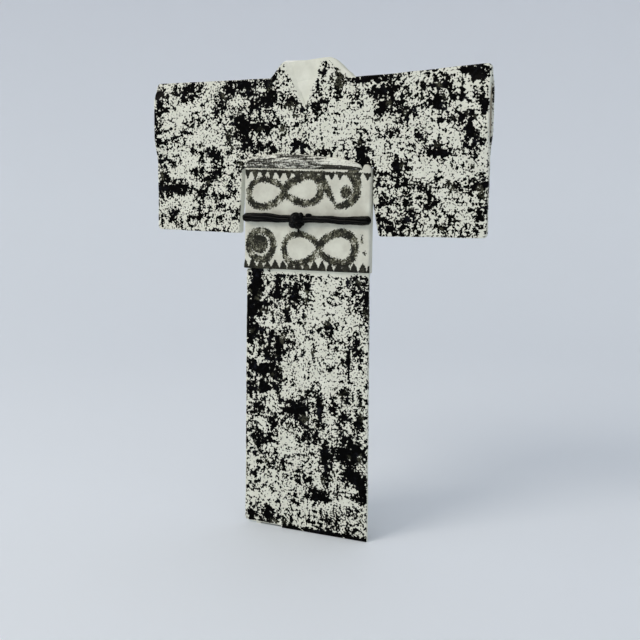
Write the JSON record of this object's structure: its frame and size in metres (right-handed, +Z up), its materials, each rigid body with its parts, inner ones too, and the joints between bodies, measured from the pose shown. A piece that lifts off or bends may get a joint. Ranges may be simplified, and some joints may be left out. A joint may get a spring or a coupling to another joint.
{
  "type": "ceramic kimono sculpture",
  "caption": "Free-standing slab-built ceramic kimono with outspread sleeves, obi band, knotted cord and hollow bowed back.",
  "frame": {"origin": "middle of the bounding box's underside, on the surface that the sculpture stands on", "axes": "+Z up, +X to the right of a viewer who faces the front, +Y away from that viewer, so the front looks along -Y"},
  "size_m": [0.318, 0.056, 0.4201],
  "materials": {
    "mottled_glaze": "satin white glaze with glossy black speckle",
    "pale_glaze": "satin white glaze with dry-brushed dark pattern",
    "brushed_grey": "satin, brushed grey over white",
    "black_glaze": "glossy black glaze"
  },
  "bodies": {
    "root": {"kimono": "mottled_glaze", "obi": "pale_glaze", "obi_age": "brushed_grey", "obi_jime": "black_glaze"}
  },
  "joints": []
}
